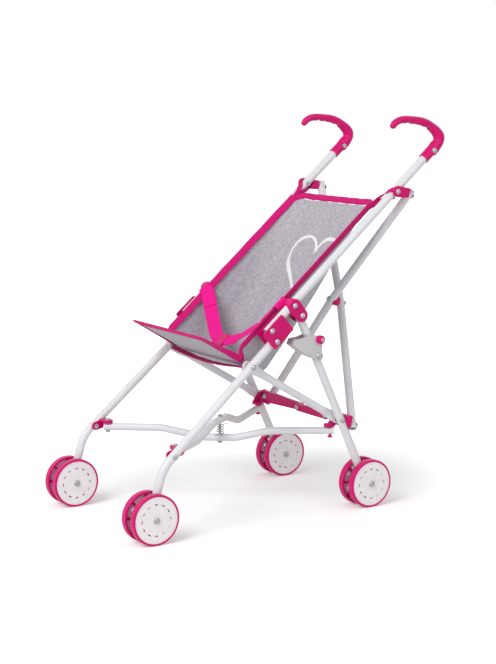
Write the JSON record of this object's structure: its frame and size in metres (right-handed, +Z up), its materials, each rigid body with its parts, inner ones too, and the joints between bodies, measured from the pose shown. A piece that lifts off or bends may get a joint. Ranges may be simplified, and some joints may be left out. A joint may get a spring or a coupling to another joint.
{
  "type": "doll stroller",
  "caption": "Folding umbrella-style doll stroller with a fabric sling seat, hooked handles, crossed tubes behind and below, and twin wheels.",
  "frame": {"origin": "on the ground under the middle of the overall box", "axes": "+Z up, front of the stroller towards -Y, its left side towards +X"},
  "size_m": [0.2768, 0.5293, 0.5627],
  "materials": {
    "magenta_plastic": "semi-gloss",
    "tube_white": "powder coat",
    "fastener_steel": "zinc plated",
    "spring_steel": "bright",
    "wheel_cap_white": "satin",
    "catch_white": "satin",
    "sling_fabric": "melange weave",
    "binding_fabric": "woven tape"
  },
  "bodies": {
    "left_frame": {"left_upper_tube": "tube_white", "left_clamp_block": "magenta_plastic", "left_hinge_plate": "magenta_plastic", "left_handle_grip": "magenta_plastic", "left_frame_bolts": "fastener_steel", "seat_sling": "sling_fabric", "seat_binding": "binding_fabric"},
    "left_top_bracket": {"left_top_bracket": "magenta_plastic"},
    "front_cross_tube": {"back_cross_front_tube": "tube_white", "cross_spacer": "magenta_plastic", "cross_bolt": "fastener_steel"},
    "rear_cross_tube": {"back_cross_rear_tube": "tube_white"},
    "right_top_bracket": {"right_top_bracket": "magenta_plastic"},
    "right_frame": {"right_upper_tube": "tube_white", "right_clamp_block": "magenta_plastic", "right_hinge_plate": "magenta_plastic", "right_handle_grip": "magenta_plastic", "right_frame_bolts": "fastener_steel"},
    "left_front_leg": {"left_front_leg": "tube_white", "left_front_axle_block": "magenta_plastic", "left_front_leg_bolts": "fastener_steel"},
    "left_rear_leg": {"left_rear_leg": "tube_white", "left_rear_axle_block": "magenta_plastic", "left_rear_leg_bolts": "fastener_steel"},
    "left_rear_bracket": {"left_rear_bracket": "magenta_plastic", "left_foot_screws": "fastener_steel"},
    "left_rear_clip": {"left_rear_clip": "magenta_plastic"},
    "left_side_link": {"left_side_link": "tube_white"},
    "left_front_bracket": {"left_front_bracket": "magenta_plastic"},
    "right_front_leg": {"right_front_leg": "tube_white", "right_front_axle_block": "magenta_plastic", "right_front_leg_bolts": "fastener_steel"},
    "right_rear_leg": {"right_rear_leg": "tube_white", "right_rear_axle_block": "magenta_plastic", "right_rear_leg_bolts": "fastener_steel"},
    "right_rear_bracket": {"right_rear_bracket": "magenta_plastic", "right_foot_screws": "fastener_steel"},
    "right_rear_clip": {"right_rear_clip": "magenta_plastic"},
    "right_side_link": {"right_side_link": "tube_white"},
    "right_front_bracket": {"right_front_bracket": "magenta_plastic", "lower_bar_bolt": "fastener_steel"},
    "upper_bar": {"upper_cross_bar": "tube_white", "upper_bar_bolts": "fastener_steel", "torsion_spring": "spring_steel"},
    "lower_bar": {"lower_cross_bar": "tube_white"},
    "narrow_strut": {"lock_strut_narrow": "magenta_plastic", "strut_rivet": "fastener_steel"},
    "wide_strut": {"lock_strut_wide": "magenta_plastic"},
    "left_front_wheel": {"left_front_wheel": "magenta_plastic", "left_front_wheel_caps": "wheel_cap_white"},
    "right_front_wheel": {"right_front_wheel": "magenta_plastic", "right_front_wheel_caps": "wheel_cap_white"},
    "left_rear_wheel": {"left_rear_wheel": "magenta_plastic", "left_rear_wheel_caps": "wheel_cap_white"},
    "right_rear_wheel": {"right_rear_wheel": "magenta_plastic", "right_rear_wheel_caps": "wheel_cap_white"},
    "left_catch": {"left_fold_catch": "catch_white", "left_catch_knob": "magenta_plastic"},
    "right_catch": {"right_fold_catch": "catch_white", "right_catch_knob": "magenta_plastic"}
  },
  "joints": [
    {"name": "left_top_bracket_tilt", "type": "hinge", "parent": "left_frame", "child": "left_top_bracket", "pos_m": [0.112, 0.17395, 0.45562], "axis": [-1, 0, 0], "range_deg": [0, 8.99]},
    {"name": "front_tube_swing", "type": "hinge", "parent": "left_top_bracket", "child": "front_cross_tube", "pos_m": [0.11, 0.2017, 0.4502], "axis": [0, -0.9594, 0.2821], "range_deg": [0, 11.74]},
    {"name": "rear_tube_swing", "type": "hinge", "parent": "front_cross_tube", "child": "rear_cross_tube", "pos_m": [0, 0.15346, 0.28616], "axis": [0, 0.9594, -0.2821], "range_deg": [0, 23.42]},
    {"name": "right_top_bracket_swing", "type": "hinge", "parent": "rear_cross_tube", "child": "right_top_bracket", "pos_m": [-0.11, 0.2017, 0.4502], "axis": [0, -0.9594, 0.2821], "range_deg": [0, 11.74]},
    {"name": "right_frame_tilt", "type": "hinge", "parent": "right_top_bracket", "child": "right_frame", "pos_m": [-0.112, 0.17395, 0.45562], "axis": [1, 0, 0], "range_deg": [0, 8.99]},
    {"name": "left_front_leg_fold", "type": "hinge", "parent": "left_frame", "child": "left_front_leg", "pos_m": [0.112, -0.03168, 0.2558], "axis": [-1, 0, 0], "range_deg": [0, 50], "deforming": ["seat_sling", "seat_binding"]},
    {"name": "right_front_leg_fold", "type": "hinge", "parent": "right_frame", "child": "right_front_leg", "pos_m": [-0.112, -0.03168, 0.2558], "axis": [-1, 0, 0], "range_deg": [0, 50]},
    {"name": "left_rear_leg_fold", "type": "hinge", "parent": "left_frame", "child": "left_rear_leg", "pos_m": [0.112, 0.01019, 0.28917], "axis": [-1, 0, 0], "range_deg": [0, 22.4]},
    {"name": "right_rear_leg_fold", "type": "hinge", "parent": "right_frame", "child": "right_rear_leg", "pos_m": [-0.112, 0.01019, 0.28917], "axis": [-1, 0, 0], "range_deg": [0, 22.4]},
    {"name": "left_rear_bracket_tilt", "type": "hinge", "parent": "left_rear_leg", "child": "left_rear_bracket", "pos_m": [0.112, 0.08271, 0.13221], "axis": [1, 0, 0], "range_deg": [0, 13.47]},
    {"name": "right_rear_bracket_tilt", "type": "hinge", "parent": "right_rear_leg", "child": "right_rear_bracket", "pos_m": [-0.112, 0.08271, 0.13221], "axis": [1, 0, 0], "range_deg": [0, 13.47]},
    {"name": "left_rear_clip_tilt", "type": "hinge", "parent": "left_rear_leg", "child": "left_rear_clip", "pos_m": [0.112, 0.08271, 0.13221], "axis": [-1, 0, 0], "range_deg": [0, 14.48]},
    {"name": "right_rear_clip_tilt", "type": "hinge", "parent": "right_rear_leg", "child": "right_rear_clip", "pos_m": [-0.112, 0.08271, 0.13221], "axis": [-1, 0, 0], "range_deg": [0, 14.48]},
    {"name": "left_side_link_swing", "type": "hinge", "parent": "left_front_leg", "child": "left_side_link", "pos_m": [0.112, -0.06958, 0.22319], "axis": [1, 0, 0], "range_deg": [0, 24.69]},
    {"name": "right_side_link_swing", "type": "hinge", "parent": "right_front_leg", "child": "right_side_link", "pos_m": [-0.112, -0.06958, 0.22319], "axis": [1, 0, 0], "range_deg": [0, 24.69]},
    {"name": "left_front_bracket_tilt", "type": "hinge", "parent": "left_front_leg", "child": "left_front_bracket", "pos_m": [0.112, -0.19619, 0.11429], "axis": [1, 0, 0], "range_deg": [0, 13.3]},
    {"name": "right_front_bracket_tilt", "type": "hinge", "parent": "right_front_leg", "child": "right_front_bracket", "pos_m": [-0.112, -0.19619, 0.11429], "axis": [1, 0, 0], "range_deg": [0, 13.3]},
    {"name": "upper_bar_swing", "type": "hinge", "parent": "left_front_bracket", "child": "upper_bar", "pos_m": [0.099, -0.18219, 0.114], "axis": [0, 0, -1], "range_deg": [0, 14.77]},
    {"name": "lower_bar_swing", "type": "hinge", "parent": "upper_bar", "child": "lower_bar", "pos_m": [0, -0.05111, 0.114], "axis": [0, 0, 1], "range_deg": [0, 29.47]},
    {"name": "narrow_strut_swing", "type": "hinge", "parent": "left_rear_bracket", "child": "narrow_strut", "pos_m": [0.0835, 0.08311, 0.1338], "axis": [0, 1, 0], "range_deg": [0, 69.5]},
    {"name": "wide_strut_swing", "type": "hinge", "parent": "right_rear_bracket", "child": "wide_strut", "pos_m": [-0.0835, 0.08311, 0.1338], "axis": [0, -1, 0], "range_deg": [0, 44.57]},
    {"name": "left_front_wheel_spin", "type": "hinge", "parent": "left_front_leg", "child": "left_front_wheel", "pos_m": [0.119, -0.232, 0.035], "axis": [1, 0, 0], "continuous": true},
    {"name": "right_front_wheel_spin", "type": "hinge", "parent": "right_front_leg", "child": "right_front_wheel", "pos_m": [-0.119, -0.232, 0.035], "axis": [1, 0, 0], "continuous": true},
    {"name": "left_rear_wheel_spin", "type": "hinge", "parent": "left_rear_leg", "child": "left_rear_wheel", "pos_m": [0.112, 0.12763, 0.035], "axis": [1, 0, 0], "continuous": true},
    {"name": "right_rear_wheel_spin", "type": "hinge", "parent": "right_rear_leg", "child": "right_rear_wheel", "pos_m": [-0.112, 0.12763, 0.035], "axis": [1, 0, 0], "continuous": true},
    {"name": "left_catch_tilt", "type": "hinge", "parent": "left_rear_leg", "child": "left_catch", "pos_m": [0.112, 0.03745, 0.23016], "axis": [1, 0, 0], "range_deg": [0, 6]},
    {"name": "right_catch_tilt", "type": "hinge", "parent": "right_rear_leg", "child": "right_catch", "pos_m": [-0.112, 0.03745, 0.23016], "axis": [1, 0, 0], "range_deg": [0, 6]}
  ],
  "couplings": [
    {"joint": "left_top_bracket_tilt", "follows": "left_front_leg_fold", "ratio": 0.17853},
    {"joint": "front_tube_swing", "follows": "left_front_leg_fold", "ratio": 0.2336},
    {"joint": "rear_tube_swing", "follows": "left_front_leg_fold", "ratio": 0.4672},
    {"joint": "right_top_bracket_swing", "follows": "left_front_leg_fold", "ratio": 0.2336},
    {"joint": "right_frame_tilt", "follows": "left_front_leg_fold", "ratio": 0.17853},
    {"joint": "right_front_leg_fold", "follows": "left_front_leg_fold", "ratio": 1},
    {"joint": "left_rear_leg_fold", "follows": "left_front_leg_fold", "ratio": 0.44674},
    {"joint": "right_rear_leg_fold", "follows": "left_front_leg_fold", "ratio": 0.44674},
    {"joint": "left_rear_bracket_tilt", "follows": "left_front_leg_fold", "ratio": 0.26821},
    {"joint": "right_rear_bracket_tilt", "follows": "left_front_leg_fold", "ratio": 0.26821},
    {"joint": "left_rear_clip_tilt", "follows": "left_front_leg_fold", "ratio": 0.2885},
    {"joint": "right_rear_clip_tilt", "follows": "left_front_leg_fold", "ratio": 0.2885},
    {"joint": "left_side_link_swing", "follows": "left_front_leg_fold", "ratio": 0.49269},
    {"joint": "right_side_link_swing", "follows": "left_front_leg_fold", "ratio": 0.49269},
    {"joint": "left_front_bracket_tilt", "follows": "left_front_leg_fold", "ratio": 0.26476},
    {"joint": "right_front_bracket_tilt", "follows": "left_front_leg_fold", "ratio": 0.26476},
    {"joint": "upper_bar_swing", "follows": "left_front_leg_fold", "ratio": 0.29414},
    {"joint": "lower_bar_swing", "follows": "left_front_leg_fold", "ratio": 0.58827},
    {"joint": "narrow_strut_swing", "follows": "left_front_leg_fold", "ratio": 1.3888},
    {"joint": "wide_strut_swing", "follows": "left_front_leg_fold", "ratio": 0.89016}
  ]
}
